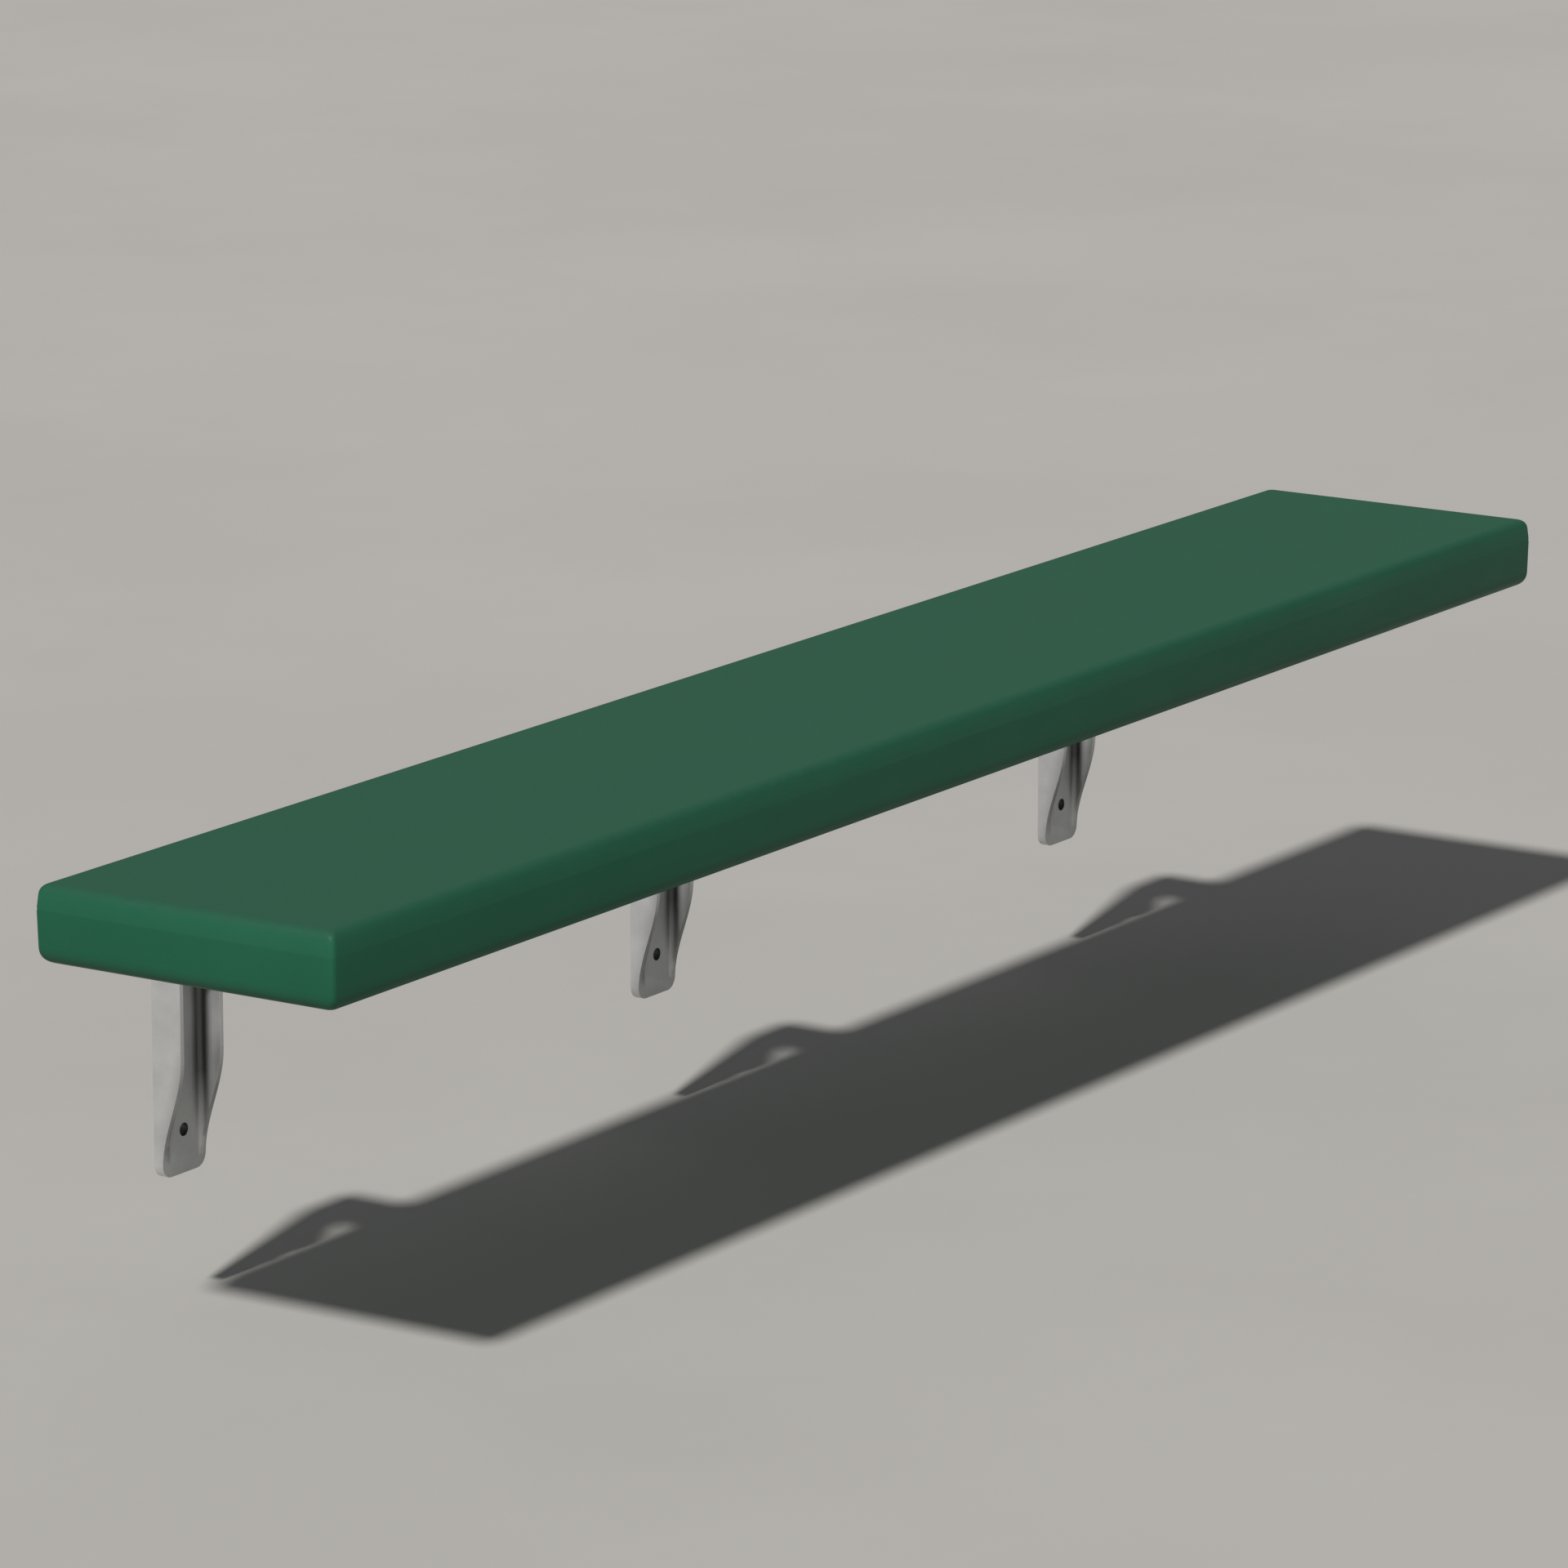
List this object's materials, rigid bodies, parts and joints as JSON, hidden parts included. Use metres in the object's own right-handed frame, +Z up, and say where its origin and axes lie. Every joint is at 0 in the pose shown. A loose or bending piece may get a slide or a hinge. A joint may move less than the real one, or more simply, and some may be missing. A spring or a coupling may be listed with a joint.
{
  "type": "wall-mounted bench",
  "caption": "Long moulded bench seat carried clear of a wall and floor on cast L brackets with ribbed sides, each drilled for wall fixings.",
  "frame": {"origin": "on the wall plane, on the back face of the middle bracket, midway between its two wall fixing holes", "axes": "+Z up, +Y into the wall, so the bench stands out towards -Y; +X along the seat, to the right as seen from the front"},
  "size_m": [2, 0.378, 0.3203],
  "materials": {
    "seat_plastic": "moulded green plastic, fine matt texture on the seat, smoother on the edges",
    "cast_aluminium": "fettled sand casting, satin light grey with a fine cast grain",
    "stainless_fastener": "plain stainless steel",
    "insert_brass": "turned brass"
  },
  "bodies": {
    "root": {"seat_plank": "seat_plastic", "bracket_left": "cast_aluminium", "bracket_middle": "cast_aluminium", "bracket_right": "cast_aluminium", "bolt_left_rear": "stainless_fastener", "bolt_left_front": "stainless_fastener", "bolt_middle_rear": "stainless_fastener", "bolt_middle_front": "stainless_fastener", "bolt_right_rear": "stainless_fastener", "bolt_right_front": "stainless_fastener", "washer_left_rear": "stainless_fastener", "washer_left_front": "stainless_fastener", "washer_middle_rear": "stainless_fastener", "washer_middle_front": "stainless_fastener", "washer_right_rear": "stainless_fastener", "washer_right_front": "stainless_fastener", "insert_left_rear": "insert_brass", "insert_left_front": "insert_brass", "insert_middle_rear": "insert_brass", "insert_middle_front": "insert_brass", "insert_right_rear": "insert_brass", "insert_right_front": "insert_brass"}
  },
  "joints": []
}
